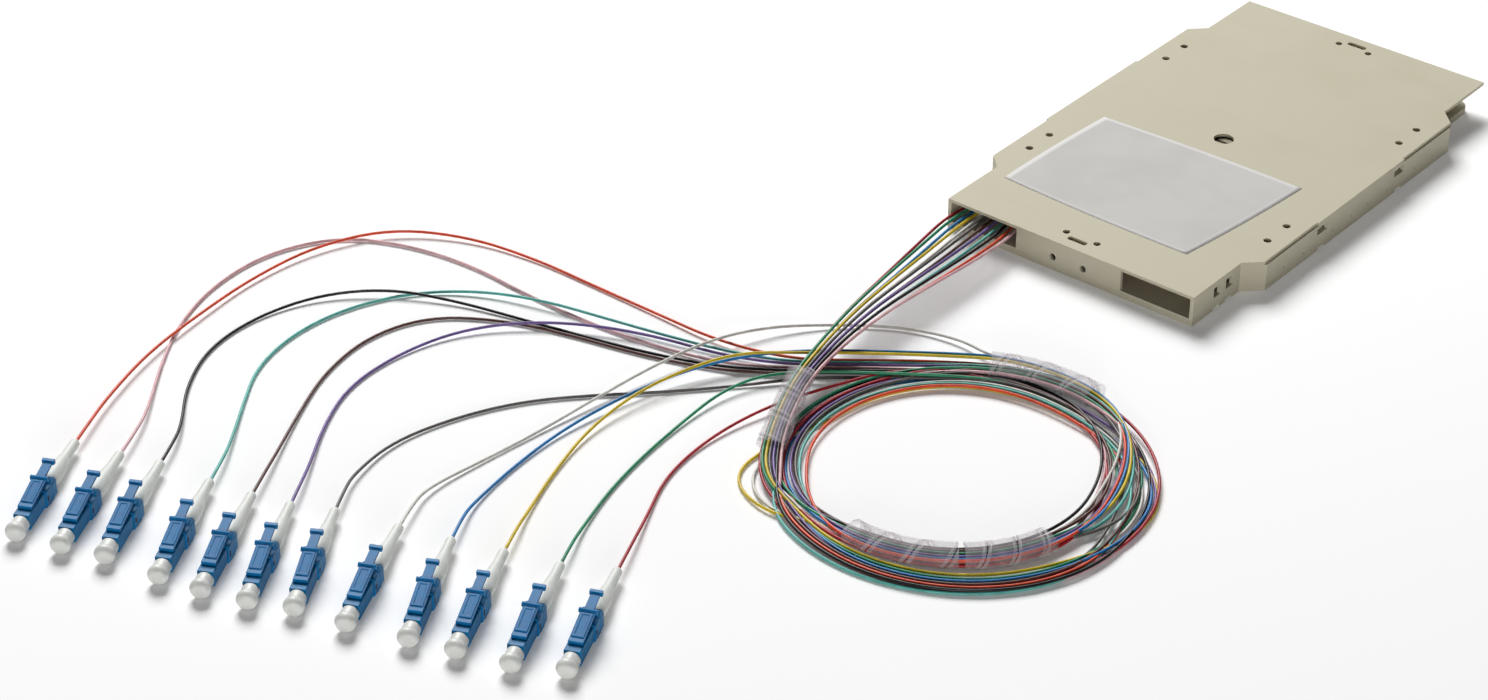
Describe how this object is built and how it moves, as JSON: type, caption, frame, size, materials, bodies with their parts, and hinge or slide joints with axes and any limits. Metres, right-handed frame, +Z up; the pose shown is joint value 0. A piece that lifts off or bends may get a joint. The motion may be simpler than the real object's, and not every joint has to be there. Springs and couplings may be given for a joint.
{
  "type": "fibre cassette",
  "caption": "Flat splice cassette with a press-on cover and coloured fibre pigtails that leave one slot, are tied in a coil and end in capped small form factor plugs.",
  "frame": {"origin": "bottom centre of the tray, without the pigtails and what is on them", "axes": "+Z up, +Y along the tray away from the slot that the pigtails leave, +X to the right seen from the slot's end"},
  "size_m": [0.2795, 0.4493, 0.01],
  "materials": {
    "tray_plastic": "fine moulded grain, beige",
    "label_paper": "plain matt paper",
    "comb_plastic": "moulded",
    "stored_buffer": "bundle of coloured buffered fibre",
    "coil_buffer": "bundle of coloured buffered fibre",
    "clear_film": "clear, soft",
    "plug_blue": "moulded, satin",
    "boot_white": "soft, slightly see-through",
    "cap_clear": "milky, see-through",
    "zirconia": "polished ceramic",
    "buffer_red": "smooth satin buffer",
    "buffer_green": "smooth satin buffer",
    "buffer_blue": "smooth satin buffer",
    "buffer_yellow": "smooth satin buffer",
    "buffer_white": "smooth satin buffer",
    "buffer_slate": "smooth satin buffer",
    "buffer_brown": "smooth satin buffer",
    "buffer_violet": "smooth satin buffer",
    "buffer_turquoise": "smooth satin buffer",
    "buffer_black": "smooth satin buffer",
    "buffer_orange": "smooth satin buffer",
    "buffer_pink": "smooth satin buffer"
  },
  "bodies": {
    "tray": {"base_tray": "tray_plastic", "splice_holder": "comb_plastic", "stored_fibre": "stored_buffer", "fibre_coil": "coil_buffer", "spiral_wrap_left": "clear_film", "spiral_wrap_right": "clear_film", "spiral_wraps_lower": "clear_film", "boots": "boot_white", "ferrules": "zirconia", "pigtail_red": "buffer_red", "pigtail_green": "buffer_green", "pigtail_blue": "buffer_blue", "pigtail_yellow": "buffer_yellow", "pigtail_white": "buffer_white", "pigtail_slate": "buffer_slate", "pigtail_brown": "buffer_brown", "pigtail_violet": "buffer_violet", "pigtail_turquoise": "buffer_turquoise", "pigtail_black": "buffer_black", "pigtail_orange": "buffer_orange", "pigtail_pink": "buffer_pink", "housing_red": "plug_blue", "housing_green": "plug_blue", "housing_blue": "plug_blue", "housing_yellow": "plug_blue", "housing_white": "plug_blue", "housing_slate": "plug_blue", "housing_brown": "plug_blue", "housing_violet": "plug_blue", "housing_turquoise": "plug_blue", "housing_black": "plug_blue", "housing_orange": "plug_blue", "housing_pink": "plug_blue"},
    "cover": {"cover": "tray_plastic", "blank_label": "label_paper"},
    "latch_red": {"latch_red": "plug_blue"},
    "latch_green": {"latch_green": "plug_blue"},
    "latch_blue": {"latch_blue": "plug_blue"},
    "latch_yellow": {"latch_yellow": "plug_blue"},
    "latch_white": {"latch_white": "plug_blue"},
    "latch_slate": {"latch_slate": "plug_blue"},
    "latch_brown": {"latch_brown": "plug_blue"},
    "latch_violet": {"latch_violet": "plug_blue"},
    "latch_turquoise": {"latch_turquoise": "plug_blue"},
    "latch_black": {"latch_black": "plug_blue"},
    "latch_orange": {"latch_orange": "plug_blue"},
    "latch_pink": {"latch_pink": "plug_blue"},
    "dust_cap_red": {"dust_cap_red": "cap_clear"},
    "dust_cap_green": {"dust_cap_green": "cap_clear"},
    "dust_cap_blue": {"dust_cap_blue": "cap_clear"},
    "dust_cap_yellow": {"dust_cap_yellow": "cap_clear"},
    "dust_cap_white": {"dust_cap_white": "cap_clear"},
    "dust_cap_slate": {"dust_cap_slate": "cap_clear"},
    "dust_cap_brown": {"dust_cap_brown": "cap_clear"},
    "dust_cap_violet": {"dust_cap_violet": "cap_clear"},
    "dust_cap_turquoise": {"dust_cap_turquoise": "cap_clear"},
    "dust_cap_black": {"dust_cap_black": "cap_clear"},
    "dust_cap_orange": {"dust_cap_orange": "cap_clear"},
    "dust_cap_pink": {"dust_cap_pink": "cap_clear"}
  },
  "joints": [
    {"name": "cover_lift", "type": "slide", "parent": "tray", "child": "cover", "axis": [0, 0, 1], "range_m": [0, 0.03]},
    {"name": "latch_red_press", "type": "hinge", "parent": "tray", "child": "latch_red", "pos_m": [0.01057, -0.30861, 0.00571], "axis": [-0.9135, -0.4067, 0], "range_deg": [0, 6], "stiffness_Nm_per_rad": 0.005},
    {"name": "latch_green_press", "type": "hinge", "parent": "tray", "child": "latch_green", "pos_m": [-0.00182, -0.31583, 0.00571], "axis": [-0.9056, -0.4242, 0], "range_deg": [0, 6], "stiffness_Nm_per_rad": 0.005},
    {"name": "latch_blue_press", "type": "hinge", "parent": "tray", "child": "latch_blue", "pos_m": [-0.02888, -0.32485, 0.00571], "axis": [-0.8771, -0.4802, 0], "range_deg": [0, 6], "stiffness_Nm_per_rad": 0.005},
    {"name": "latch_yellow_press", "type": "hinge", "parent": "tray", "child": "latch_yellow", "pos_m": [-0.01628, -0.32057, 0.00571], "axis": [-0.898, -0.4399, 0], "range_deg": [0, 6], "stiffness_Nm_per_rad": 0.005},
    {"name": "latch_white_press", "type": "hinge", "parent": "tray", "child": "latch_white", "pos_m": [-0.045, -0.33018, 0.00571], "axis": [-0.9011, -0.4337, 0], "range_deg": [0, 6], "stiffness_Nm_per_rad": 0.005},
    {"name": "latch_slate_press", "type": "hinge", "parent": "tray", "child": "latch_slate", "pos_m": [-0.06023, -0.33419, 0.00571], "axis": [-0.8581, -0.5135, 0], "range_deg": [0, 6], "stiffness_Nm_per_rad": 0.005},
    {"name": "latch_brown_press", "type": "hinge", "parent": "tray", "child": "latch_brown", "pos_m": [-0.0836, -0.34397, 0.00571], "axis": [-0.8805, -0.4741, 0], "range_deg": [0, 6], "stiffness_Nm_per_rad": 0.005},
    {"name": "latch_violet_press", "type": "hinge", "parent": "tray", "child": "latch_violet", "pos_m": [-0.07139, -0.33978, 0.00571], "axis": [-0.8607, -0.509, 0], "range_deg": [0, 6], "stiffness_Nm_per_rad": 0.005},
    {"name": "latch_turquoise_press", "type": "hinge", "parent": "tray", "child": "latch_turquoise", "pos_m": [-0.09633, -0.34682, 0.00571], "axis": [-0.8763, -0.4818, 0], "range_deg": [0, 6], "stiffness_Nm_per_rad": 0.005},
    {"name": "latch_black_press", "type": "hinge", "parent": "tray", "child": "latch_black", "pos_m": [-0.11336, -0.34961, 0.00571], "axis": [-0.8846, -0.4664, 0], "range_deg": [0, 6], "stiffness_Nm_per_rad": 0.005},
    {"name": "latch_orange_press", "type": "hinge", "parent": "tray", "child": "latch_orange", "pos_m": [-0.13863, -0.35775, 0.00571], "axis": [-0.8886, -0.4587, 0], "range_deg": [0, 6], "stiffness_Nm_per_rad": 0.005},
    {"name": "latch_pink_press", "type": "hinge", "parent": "tray", "child": "latch_pink", "pos_m": [-0.1254, -0.35388, 0.00571], "axis": [-0.8926, -0.4509, 0], "range_deg": [0, 6], "stiffness_Nm_per_rad": 0.005},
    {"name": "dust_cap_red_pull", "type": "slide", "parent": "tray", "child": "dust_cap_red", "axis": [0.4067, -0.9135, 0], "range_m": [0, 0.012]},
    {"name": "dust_cap_green_pull", "type": "slide", "parent": "tray", "child": "dust_cap_green", "axis": [0.4242, -0.9056, 0], "range_m": [0, 0.012]},
    {"name": "dust_cap_blue_pull", "type": "slide", "parent": "tray", "child": "dust_cap_blue", "axis": [0.4802, -0.8771, 0], "range_m": [0, 0.012]},
    {"name": "dust_cap_yellow_pull", "type": "slide", "parent": "tray", "child": "dust_cap_yellow", "axis": [0.4399, -0.898, 0], "range_m": [0, 0.012]},
    {"name": "dust_cap_white_pull", "type": "slide", "parent": "tray", "child": "dust_cap_white", "axis": [0.4337, -0.9011, 0], "range_m": [0, 0.012]},
    {"name": "dust_cap_slate_pull", "type": "slide", "parent": "tray", "child": "dust_cap_slate", "axis": [0.5135, -0.8581, 0], "range_m": [0, 0.012]},
    {"name": "dust_cap_brown_pull", "type": "slide", "parent": "tray", "child": "dust_cap_brown", "axis": [0.4741, -0.8805, 0], "range_m": [0, 0.012]},
    {"name": "dust_cap_violet_pull", "type": "slide", "parent": "tray", "child": "dust_cap_violet", "axis": [0.509, -0.8607, 0], "range_m": [0, 0.012]},
    {"name": "dust_cap_turquoise_pull", "type": "slide", "parent": "tray", "child": "dust_cap_turquoise", "axis": [0.4818, -0.8763, 0], "range_m": [0, 0.012]},
    {"name": "dust_cap_black_pull", "type": "slide", "parent": "tray", "child": "dust_cap_black", "axis": [0.4664, -0.8846, 0], "range_m": [0, 0.012]},
    {"name": "dust_cap_orange_pull", "type": "slide", "parent": "tray", "child": "dust_cap_orange", "axis": [0.4587, -0.8886, 0], "range_m": [0, 0.012]},
    {"name": "dust_cap_pink_pull", "type": "slide", "parent": "tray", "child": "dust_cap_pink", "axis": [0.4509, -0.8926, 0], "range_m": [0, 0.012]}
  ]
}
